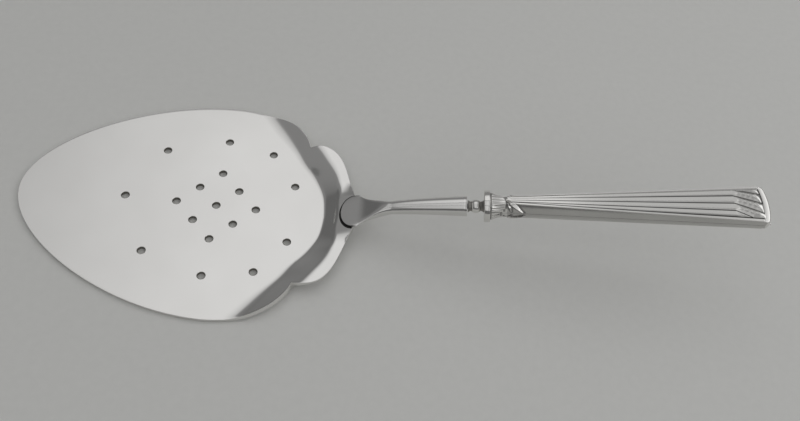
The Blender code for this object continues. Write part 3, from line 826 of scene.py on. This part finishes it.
# %% [markdown]
# ## The braze seam
# Brazing leaves a small hollow fillet of solder round the nose of the tongue. Flux and sulphide stay in that
# corner, so it reads as a thin dark line. It is a strip that follows the nose, with a section of seven
# points, closed at both ends.

# %% Braze seam
# (away from the tongue's edge, up from the blade), in mm
SEAM_POINTS = (
    (-0.10, -0.05), (0.34, -0.05), (0.34, 0.02), (0.14, 0.10), (0.06, 0.22), (0.0, 0.40), (-0.10, 0.40))
SEAM_STEPS = 64
SEAM_TURN = math.radians(82)
SPECK_SIZE = 0.2 * MM


def seam_spot(row, column):
    """A point of the fillet, a step along the nose and a place in its section."""
    turn = SEAM_TURN * (2 * row / SEAM_STEPS - 1)
    edge = Vector((tongue_widest - TONGUE_NOSE * math.cos(turn), TONGUE_HALF_WIDTH * math.sin(turn)))
    away = Vector((-TONGUE_HALF_WIDTH * math.cos(turn), TONGUE_NOSE * math.sin(turn))).normalized()
    out, up = SEAM_POINTS[column % len(SEAM_POINTS)]
    spot = edge + away * out * MM
    return Vector((HOLE_X + spot.x, spot.y, blade_rise(spot.x, spot.y) + SHEET + up * MM))


seam = shaped_grid("braze_seam", SEAM_STEPS + 1, len(SEAM_POINTS) + 1, seam_spot)
edit(seam, merge, fill_openings, outward)
# A dull, nearly black line that sets the tongue off from the blade. Sulphide settles in specks of about 0.2 mm,
# so that the line is not quite even.
solder, tree, surface = new_material("oxidised_silver_solder", Metallic=0.6, Roughness=0.5)
add_tint(tree, surface, add_noise(tree, SPECK_SIZE), "#2A2928", "#4A4947")
smooth(seam, 40)
coat(seam, solder)
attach(seam, "root")
print("braze seam", len(seam.data.polygons), "faces")

# %% [markdown]
# ## The lathe
# Knop and collar are turned on a lathe. In Blender the lathe is the spin operator: a circle, whose points are
# moved onto the outline of the section, is swept once round the axis.

# %% Lathe
BORE = 1.2 * MM
TURNING_STEPS = 96


def turned_piece(name, profile):
    """Spin a closed profile of (place, radius) points round the handle's axis."""
    bpy.ops.object.select_all(action="DESELECT")
    bpy.ops.mesh.primitive_circle_add(vertices=len(profile), fill_type="NOTHING")
    piece = bpy.context.object
    piece.name = piece.data.name = name
    for vert, (place, radius) in zip(piece.data.vertices, profile):
        vert.co = on_axis(place, 0, radius)

    def sweep():
        bpy.ops.mesh.spin(steps=TURNING_STEPS, angle=2 * math.pi, center=AXIS_START, axis=ALONG)
        bpy.ops.mesh.select_all(action="SELECT")

    edit(piece, sweep, merge, outward)
    return piece


print("the lathe takes", TURNING_STEPS, "steps round the axis")

# %% [markdown]
# ## The knop
# The knop is a small bead between two coves, where the stem meets the collar. Painted shade darkens the
# coves and grows outwards from the foot of the bead.

# %% Knop
KNOP = (-5.88 * MM, -0.02 * MM)
KNOP_STEPS = 60
BEAD_HALF = 1.6 * MM
COVE = 1.7 * MM
BEAD_RISE = 0.8 * MM
KNOP_END_RISE = 0.6 * MM
COVE_PAINTED_SHADE = 0.75
# Where the painted shade starts and over what run it grows, in half lengths of the bead
COVE_START, COVE_RUN = 0.75, 0.3


def knop_radius(place):
    """Radius of the knop: the bead, then a cove that opens to each end."""
    off = abs(place - sum(KNOP) / 2)
    if off < BEAD_HALF:
        return COVE + BEAD_RISE * math.sqrt(1 - (off / BEAD_HALF) ** 2)
    return COVE + KNOP_END_RISE * ((off - BEAD_HALF) / ((KNOP[1] - KNOP[0]) / 2 - BEAD_HALF)) ** 2


def knop_painted_shade(co):
    """Painted shade in the coves."""
    off = abs((co - AXIS_START).dot(ALONG) - sum(KNOP) / 2)
    return COVE_PAINTED_SHADE * ease((off / BEAD_HALF - COVE_START) / COVE_RUN)


places = [blend(*KNOP, index / KNOP_STEPS) for index in range(KNOP_STEPS + 1)]
knop_profile = [(place, knop_radius(place)) for place in places] + [(KNOP[1], BORE), (KNOP[0], BORE)]
knop = turned_piece("knop_turned", knop_profile)
set_patina_and_painted_shade(knop, [knop_painted_shade(vert.co) for vert in knop.data.vertices])
finish_piece(knop, turned, "knop", sharp=50)

# %% [markdown]
# ## The collar
# The collar is a flat ring with broken edges that closes the narrow end of the handle, and a spigot that the
# handle closes round. Its profile is walked once round: front face, edges, spigot and bore.

# %% Collar
COLLAR_RADIUS = 5.9 * MM
COLLAR_THICKNESS = 2.35 * MM
COLLAR_EDGE = 0.35 * MM
COLLAR_EDGE_STEPS = 4
SPIGOT_RADIUS = 2.45 * MM
SPIGOT_END = 5.35 * MM


def broken_edge(place, inwards):
    """Points round an edge of the collar, from its rim to the face at a place. Inwards is 1 or -1."""
    points = []
    for index in range(COLLAR_EDGE_STEPS + 1):
        turn = math.pi / 2 * index / COLLAR_EDGE_STEPS
        points.append((
            place + inwards * COLLAR_EDGE * (1 - math.sin(turn)),
            COLLAR_RADIUS - COLLAR_EDGE * (1 - math.cos(turn)),
        ))
    return points


collar_profile = [(0, BORE)] + broken_edge(0, 1)[::-1] + broken_edge(COLLAR_THICKNESS, -1)
collar_profile += [(COLLAR_THICKNESS, SPIGOT_RADIUS), (SPIGOT_END, SPIGOT_RADIUS), (SPIGOT_END, BORE)]
collar = turned_piece("collar_turned", collar_profile)
finish_piece(collar, turned, "collar", sharp=40)

# %% [markdown]
# ## The handle's form
# The handle is stamped in two halves from thin sheet, soldered along both sides. The flat face of each
# spreads like a fan, 3 mm wide at the tie and 15 mm at the butt, and a flank bulges from each of its edges
# down to the seam, while the handle gets thinner, from 8 mm to 4 mm. Behind the collar it is nearly round. A
# section is four numbers that change along the handle.

# %% Sections of the handle
HANDLE_LENGTH = 101.7 * MM
MOUTH_AT = 2.65 * MM
TIE_AT = 8.5 * MM
BUTT_BOW = 1.1 * MM
BOW_RUN = 10 * MM
BUTT_CORNER = 1.3 * MM
# Half width of the face and at the seams, depth of the half, and bulge of its flanks, front and back
MOUTH = {1: (1.5 * MM, 4.6 * MM, 4.6 * MM, 0.5), -1: (1.5 * MM, 4.6 * MM, 4.6 * MM, 0.5)}
TIE = {1: (1.5 * MM, 2.9 * MM, 4.0 * MM, 1.0), -1: (1.5 * MM, 2.9 * MM, 4.5 * MM, 1.0)}
BUTT = {1: (7.7 * MM, 7.85 * MM, 2.0 * MM, 1.0), -1: (7.7 * MM, 7.85 * MM, 1.9 * MM, 1.0)}


def handle_section(place, side):
    """The four numbers of a section, for the front (1) or the back (-1)."""
    if place < TIE_AT:
        share = min((TIE_AT - place) / (TIE_AT - MOUTH_AT), 1.0) ** 2
        return [blend(tie, mouth, share) for tie, mouth in zip(TIE[side], MOUTH[side])]
    share = (place - TIE_AT) / (HANDLE_LENGTH - TIE_AT)
    return [blend(tie, butt, share) for tie, butt in zip(TIE[side], BUTT[side])]


def bow_back(place, across):
    """How far the bowed butt and its rounded corners draw a point back."""
    bow = BUTT_BOW * ease((place - HANDLE_LENGTH + BOW_RUN) / BOW_RUN) * (across / BUTT[1][1]) ** 2
    side = min(max(abs(across) - BUTT[1][1] + BUTT_CORNER, 0.0), BUTT_CORNER)
    corner = BUTT_CORNER - math.sqrt(BUTT_CORNER ** 2 - side ** 2)
    return bow + corner * ease((place - HANDLE_LENGTH + 2 * BUTT_CORNER) / (2 * BUTT_CORNER))


for place in (MOUTH_AT, TIE_AT, HANDLE_LENGTH):
    print("section at", round(place / MM, 1), [round(v, 4) for v in handle_section(place, 1)])

# %% [markdown]
# ## The leaves over the tie
# The stamp draws a bundle of asparagus. A long leaf crosses over its tie, with smaller ones beside it. The
# relief is a height over the plain section, given by the distance along the handle and over its surface from
# the middle line. The painted shade on the ground beside the leaves comes from the same lines, so it is worked
# out beside the height.

# %% Leaves
# (place along the handle, distance over its surface) of the points of each middle line, and the width, in mm
LEAVES = (
    (((7.3, 0.7), (8.4, -0.3), (9.6, -1.1), (10.8, -1.9), (11.9, -2.9), (13.2, -4.2), (14.6, -5.4)), 1.4),
    (((9.2, 1.5), (10.4, 2.4), (12.4, 4.4)), 0.9),
    (((8.8, -2.0), (9.4, -3.0), (10.1, -5.0)), 0.9),
    (((8.8, 2.9), (9.4, 3.6), (10.1, 5.0)), 0.9),
)
LEAF_HEIGHT = 0.7 * MM
# How fast a leaf narrows to its point and to its foot, and the share of its width that is left there
LEAF_POINT, LEAF_POINT_LEFT = 2.4, 0.02
LEAF_FOOT, LEAF_FOOT_LEFT = 1.2, 0.45
# Height share of the upper edge, gain towards the lower one, and where in the half width the slope ends
LEAF_LOW, LEAF_GAIN, LEAF_SLOPE_END = 0.15, 0.425, 0.65
LEAF_EDGE_STEEPNESS = 8
LEAF_LINE = 0.25 * MM
GROUND_REACH = 1.6 * MM
GROUND_PAINTED_SHADE = 0.7


def on_leaf(points, here):
    """Nearest point of a leaf's middle line, and the share along the leaf where it is."""
    best, best_share = Vector(points[0]) * MM, 0.0
    for index in range(len(points) - 1):
        start = Vector(points[index]) * MM
        span = Vector(points[index + 1]) * MM - start
        share = min(max((here - start).dot(span) / span.length_squared, 0.0), 1.0)
        if (here - start - span * share).length < (here - best).length:
            best, best_share = start + span * share, (index + share) / (len(points) - 1)
    return best, best_share


def leaf_relief(place, over):
    """Height of the leaves, whose lower edge stands out, and painted shade round them and on the ground beside
    them.
    """
    height, dark = 0.0, 0.0
    here = Vector((place, over))
    for points, width in LEAVES:
        middle, share = on_leaf(points, here)
        half = width / 2 * MM * min(
            1.0, LEAF_POINT * (1 - share) + LEAF_POINT_LEFT, LEAF_FOOT * share + LEAF_FOOT_LEFT)
        beside = (here - middle).length - half
        if beside < 0:
            down = min(max((abs(over) - abs(middle.y)) / (LEAF_SLOPE_END * half), -1.0), 1.0)
            edge = min(1.0, -beside / half * LEAF_EDGE_STEEPNESS)
            height = max(height, LEAF_HEIGHT * (LEAF_LOW + LEAF_GAIN * (1 + down)) * edge)
        else:
            # Painted shade: a dark line round the leaf, and darker ground beside it.
            dark = max(dark, 1 - beside / LEAF_LINE, GROUND_PAINTED_SHADE * (1 - ease(beside / GROUND_REACH)))
    return height, dark if height == 0 else 0.0


print(len(LEAVES), "leaves on each half")

# %% [markdown]
# ## The cut ends of the stalks
# Between the collar and the tie the cut ends of the stalks flare out. They are ribs side by side, each of
# another length, with painted shade in the groove between two ribs and a painted shadow behind each end.

# %% Stalk ends
STALK_WIDTH = 1.25 * MM
STALK_HEIGHT = 0.28 * MM
STALK_START = 2.6 * MM
STALK_RISE = 0.4 * MM
STALK_CUT = 0.3 * MM
STALK_ENDS = (8.1, 8.0, 7.9, 7.2, 6.1, 5.2)
STALK_GROUND = 0.4
STALK_FLATNESS = 2.5
STALK_GROOVE = 0.14 * MM
STALK_SHADOW = 1.0 * MM
STALK_PAINTED_SHADE = 0.7


def bulge(share, flatness):
    """A rounded profile, 0 at both ends and 1 in the middle, flatter on top for a higher flatness."""
    return max(0.0, 1 - abs(2 * share - 1) ** flatness)


def stalk_relief(place, over):
    """Height and darkness of the stalk ends, a sheaf of ribs of different lengths behind the collar."""
    index = int(abs(over) / STALK_WIDTH)
    if index >= len(STALK_ENDS):
        return 0.0, 0.0
    end = STALK_ENDS[index] * MM
    share = abs(over) / STALK_WIDTH % 1
    cut = ease((place - end + STALK_CUT) / STALK_CUT)
    within = ease((place - STALK_START) / STALK_RISE) * (1 - cut)
    # Painted shade lies in the grooves between ribs, with a painted shadow behind each end.
    groove = max(0.0, 1 - min(share, 1 - share) * STALK_WIDTH / STALK_GROOVE) if index else 0.0
    shadow = STALK_PAINTED_SHADE * cut * (1 - ease((place - end) / STALK_SHADOW))
    height = STALK_HEIGHT * within * (STALK_GROUND + (1 - STALK_GROUND) * bulge(share, STALK_FLATNESS))
    return height, max(STALK_PAINTED_SHADE * groove * within, shadow)


print(2 * len(STALK_ENDS) - 1, "stalk ends on each half")

# %% [markdown]
# ## The grooves between the reeds
# Behind the tie the stalks run on as four reeds with grooves between them, darkened by painted shade. A
# groove is a share across the face, so it fans out with it. Among the tips at the butt the grooves slant to
# the near side, and a new one opens for a fifth tip.

# %% Grooves
TIPS_AT = 89.2 * MM
# Grooves as shares across the face, near side first: place, slant to the near side per mm among the tips, and
# painted shade at the tie and at the butt
GROOVES = (
    (0.09, 0.0, 1.0, 1.0), (0.29, 0.034, 1.0, 1.0), (0.52, 0.028, 0.8, 1.0), (0.755, 0.024, 0.4, 1.0),
    (0.94, 0.016, 0.1, 0.9), (0.94, 0.0, 0.3, 0.3),
)
LATE_GROOVE = 4
LATE_RUN = 4 * MM
DARKENING = 1.6
GROOVE_FLOOR = 1.6
GROOVE_WIDTHS = (0.14 * MM, 0.34 * MM)
RIM_WIDTH = 0.85 * MM


def groove_shares(place, width):
    """Where the grooves run across the face at a place."""
    past = max(place - TIPS_AT, 0.0) / MM
    rim = max(GROOVES[0][0], RIM_WIDTH / width)
    return [max(share - slant * past, rim) for share, slant, *_ in GROOVES]


def groove_painted_shade(place, index, gap):
    """Painted shade at a distance from a groove, which gets wider towards the butt."""
    share = (place - TIE_AT) / (HANDLE_LENGTH - TIE_AT)
    reach = blend(*GROOVE_WIDTHS, share)
    # The late groove only opens among the tips.
    share = ease((place - TIPS_AT) / LATE_RUN) if index == LATE_GROOVE else min(share * DARKENING, 1.0)
    return blend(*GROOVES[index][2:], share) * min(1.0, GROOVE_FLOOR * max(0.0, 1 - gap / reach))


print("a reed is", round(2 * BUTT[1][0] * (GROOVES[3][0] - GROOVES[2][0]) / MM, 2), "mm wide at the butt")

# %% [markdown]
# ## Reeds, rims and tips
# A reed is a low bulge that leans a little, and a raised rim runs along each side of the face. Towards the
# butt a reed turns into the tip of a spear, rounder, higher and crossed by the low waves of its bracts, and
# ends in a bud in front of a smooth band.

# %% Reeds and their tips
REED_HEIGHT_SHARE = 0.11
REED_FLATNESS = 5.0
REED_LEAN = 1.35
REED_RISE = 2.0 * MM
WIDEST_REED = 0.22
RIM_HEIGHT = 0.3 * MM
RIM_FLATNESS = 6
RIM_SHADE, RIM_SHADE_REACH = 0.7, 0.4
TIP_FLATNESS = 2.4
TIP_RUN = 3.0 * MM
TIP_RISE = 0.8
TIP_PAINTED_SHADE = 0.25
BRACT_LENGTH = 1.7 * MM
BRACT_POINT = 1.2
BRACT_DEPTH = 0.045
NOSES_AT = (96.0, 99.4, 99.0, 98.7, 98.7)
NOSE_LENGTH = 2.6 * MM
BUD_CORNER, BUD_DARKENING = 0.95, 6
BAND_AT = 99.6 * MM
BAND_LEAD = 0.6 * MM
BAND_FALL = 0.3 * MM
TINY = 1e-6


def rim_relief(place, across, shares, width):
    """Height and darkness outside the first or the last groove, on a raised rim."""
    near = across <= shares[0]
    share = across / shares[0] if near else (1 - across) / (1 - shares[-1])
    gap = (shares[0] - across if near else across - shares[-1]) * width
    return RIM_HEIGHT * (1 - share ** RIM_FLATNESS), groove_painted_shade(place, 0 if near else len(shares) - 1, gap)


def reed_form(place, share, tipped):
    """Height across a reed, which turns into a tip. Its bracts are low waves that point along it."""
    height = bulge(share ** REED_LEAN, blend(REED_FLATNESS, TIP_FLATNESS, tipped)) * (1 + TIP_RISE * tipped)
    wave = place / BRACT_LENGTH + BRACT_POINT * abs(share - 0.5)
    return height * (1 - BRACT_DEPTH * tipped * (1 + math.cos(2 * math.pi * wave)))


def reed_relief(place, across):
    """Height and darkness at a share across the face: raised rims, reeds, and the tips they end in."""
    width = 2 * handle_section(place, 1)[0]
    rise = ease((place - TIE_AT) / REED_RISE)
    stop = 1 - ease((place - BAND_AT + BAND_LEAD) / BAND_LEAD)
    shares = groove_shares(place, width)
    if not shares[0] < across < shares[-1]:
        height, dark = rim_relief(place, across, shares, width)
        return height * rise * stop, dark * rise * stop
    index = max(number for number, share in enumerate(shares[:-1]) if share <= across)
    span = max(shares[index + 1] - shares[index], TINY)
    share = (across - shares[index]) / span
    tipped = ease((place - TIPS_AT) / TIP_RUN)
    height = reed_form(place, share, tipped)
    dark = max(
        groove_painted_shade(place, index, share * span * width),
        groove_painted_shade(place, index + 1, (1 - share) * span * width))
    # The near rim shades the side of the first reed that falls towards it.
    if index == 0:
        dark = max(dark, RIM_SHADE * (1 - tipped) * (1 - ease(share / RIM_SHADE_REACH)))
    # Each tip ends in a round bud; painted shade darkens the tip, fades on the bud and leaves a dark corner
    # behind it.
    ended = (place - NOSES_AT[index] * MM) / NOSE_LENGTH + 1
    dark = max(dark, TIP_PAINTED_SHADE * tipped * (1 - ease(2 * ended)))
    if ended > 0:
        height *= math.sqrt(max(0.0, 1 - ended ** 2))
        dark = max(dark, min(1.0, BUD_DARKENING * (ended - BUD_CORNER)))
    return REED_HEIGHT_SHARE * min(span, WIDEST_REED) * width * height * rise, min(dark, 1.0) * rise * stop


def band_fall(place):
    """How far the smooth band at the butt curves down."""
    return BAND_FALL * (max(place - BAND_AT, 0.0) / (HANDLE_LENGTH - BAND_AT)) ** 2


print(len(NOSES_AT), "tips end before the band at", round(BAND_AT / MM, 1), "mm")

# %% [markdown]
# ## Columns and rows of a half
# A half is a grid that runs from one seam over the face to the other, row by row from the mouth to the butt,
# over its rounded edge and down its end wall. Rows are close together where the relief is fine. Each point
# asks the plain section for its place and the relief for its height.

# %% Columns and rows of a half
FLANK_STEPS = 48
FACE_STEPS = 90
COLUMN_COUNT = FACE_STEPS + 1 + 2 * FLANK_STEPS
SHELL_START = 2.42 * MM
BUTT_ROUND = 0.8 * MM
# (place, number of rows up to it)
ROW_STOPS = ((SHELL_START, 0), (16 * MM, 84), (88 * MM, 48), (HANDLE_LENGTH - BUTT_ROUND, 84))
EDGE_ROWS = 8
WALL_ROWS = 4
STALKS_UP_TO = 10 * MM
LEAVES_UP_TO = 17 * MM
CORNER_LINE = 0.5 * MM
FLANK_PAINTED_SHADE = 0.3


def handle_rows():
    """(place, inset, drop): the rows of the face, of the rounded edge, and of the end wall."""
    rows = [(SHELL_START, 0.0, 0.0)]
    for (start, _), (end, count) in zip(ROW_STOPS, ROW_STOPS[1:]):
        rows += [(blend(start, end, (index + 1) / count), 0.0, 0.0) for index in range(count)]
    for index in range(1, EDGE_ROWS + 1):
        turn = math.pi / 2 * index / EDGE_ROWS
        rows.append((HANDLE_LENGTH - BUTT_ROUND * (1 - math.sin(turn)), BUTT_ROUND * (1 - math.cos(turn)), 0.0))
    return rows + [(HANDLE_LENGTH, BUTT_ROUND, drop / WALL_ROWS) for drop in range(1, WALL_ROWS + 1)]


def section_point(place, side, column, inset):
    """Plain point across and deep at a column, its outward direction, and its distance over the surface."""
    face, seam, depth, flank_bulge = handle_section(place, side)
    swell = seam - face
    face -= inset
    depth -= inset
    if FLANK_STEPS <= column <= FLANK_STEPS + FACE_STEPS:
        across = face * (2 * (column - FLANK_STEPS) / FACE_STEPS - 1)
        return across, depth, Vector((0, 1)), across
    sign = -1 if column < FLANK_STEPS else 1
    share = (column if sign < 0 else COLUMN_COUNT - 1 - column) / FLANK_STEPS
    beyond = swell * (1 - share ** 2) ** flank_bulge
    lean = swell * 2 * share * flank_bulge * (1 - share ** 2) ** (flank_bulge - 1)
    over = face + math.hypot(beyond, depth * (1 - share))
    return sign * (face + beyond), depth * share, Vector((sign * depth, lean)).normalized(), sign * over


def relief(place, column, over):
    """Height and darkness of the stamped relief at a point."""
    height, dark = stalk_relief(place, over) if place < STALKS_UP_TO else (0.0, 0.0)
    on_face = FLANK_STEPS <= column <= FLANK_STEPS + FACE_STEPS
    if on_face:
        reed, reed_dark = reed_relief(place, (column - FLANK_STEPS) / FACE_STEPS)
        height, dark = max(height, reed), max(dark, reed_dark)
    leaf, leaf_dark = leaf_relief(place, over) if place < LEAVES_UP_TO else (0.0, 0.0)
    if leaf > height:
        return leaf, 0.0
    # Painted shade darkens the ground beside the leaves, and a little of it lies on the flanks.
    ground = max(leaf_dark, FLANK_PAINTED_SHADE) if place > TIE_AT else leaf_dark - GROUND_PAINTED_SHADE
    # Painted shade makes a dark line in the corner behind the collar.
    corner = 1 - ease((place - SHELL_START) / CORNER_LINE)
    return height, max(dark, corner, 0.0 if on_face and leaf_dark < GROUND_PAINTED_SHADE else ground)


ROWS = handle_rows()
print("each half has", len(ROWS), "rows of", COLUMN_COUNT, "points")

# %% [markdown]
# ## Stamping the two halves
# Both halves come from the same functions, the back one turned over. The lowest stretch above the seam stays
# plain, so that the halves meet cleanly. Solidify then gives the sheet its thickness inwards.

# %% Stamp the halves
SHELL_WALL = 0.6 * MM
SEAM_GAP = 0.1 * MM
PLAIN_COLUMNS = 6


def stamp_half(name, side):
    """One half of the handle, with its darkness stored on the points."""
    darkness = []

    def spot(row, column):
        place, inset, drop = ROWS[row]
        column = column if side > 0 else COLUMN_COUNT - 1 - column
        across, deep, out, over = section_point(place, side, column, inset)
        height, dark = relief(place, column, over) if inset == 0 else (0.0, 0.0)
        deep -= band_fall(place)
        height *= ease(min(column, COLUMN_COUNT - 1 - column) / PLAIN_COLUMNS)
        darkness.append(min(dark, 1.0))
        return on_axis(
            place - bow_back(place, across),
            across + out.x * height,
            side * ((deep + out.y * height) * (1 - drop) + SEAM_GAP / 2),
        )

    piece = shaped_grid(name, len(ROWS), COLUMN_COUNT, spot)
    set_patina_and_painted_shade(piece, darkness)
    apply_modifier(piece, "SOLIDIFY", thickness=SHELL_WALL, offset=-1.0)
    return piece


front = stamp_half("handle_front_stamped", 1)
finish_piece(front, stamped, "handle_front", sharp=60)
rear = stamp_half("handle_back_stamped", -1)
finish_piece(rear, stamped, "handle_back", sharp=60)

# %% [markdown]
# ## What is hidden inside
# A steel tang runs from the shank through the knop and the collar into the handle, where set pitch holds it.
# Neither is seen, so the measured solids stay as they are, with the finish of the real thing: drawn steel
# with fine lines along it, and dark pitch with a dull, uneven skin.

# %% Finishes of the tang and the filler
DRAWING_LINES = 0.2 * MM
DRAWING_ROUGHNESS = {"To Min": 0.35, "To Max": 0.55}
GRIT_SIZE = 1 * MM
GRIT_BUMP = {"Strength": 0.3, "Distance": 0.1 * MM}

# A plain grey metal with a brushed shine. Drawing lines are about 0.2 mm apart.
material, tree, surface = new_material("drawn_steel_bare", Metallic=1.0)
lines = add_noise(tree, DRAWING_LINES, scale=(0.05, 1, 1))
rough = add_node(tree, "ShaderNodeMapRange", DRAWING_ROUGHNESS, {"Value": lines})
tree.links.new(rough.outputs["Result"], surface.inputs["Roughness"])
surface.inputs["Base Color"].default_value = linear("#B3B3B5")
tang = frame["nodes"]["tang"]
coat(tang, material)

# A dull brown mass, rough from grit of about 1 mm.
material, tree, surface = new_material("set_pitch_cement", Roughness=0.8)
bump = add_node(tree, "ShaderNodeBump", GRIT_BUMP, {"Height": add_noise(tree, GRIT_SIZE)})
tree.links.new(bump.outputs["Normal"], surface.inputs["Normal"])
surface.inputs["Base Color"].default_value = linear("#594A40")
filler = frame["nodes"]["handle_filler"]
coat(filler, material)
print("hidden pieces:", tang.name, filler.name)
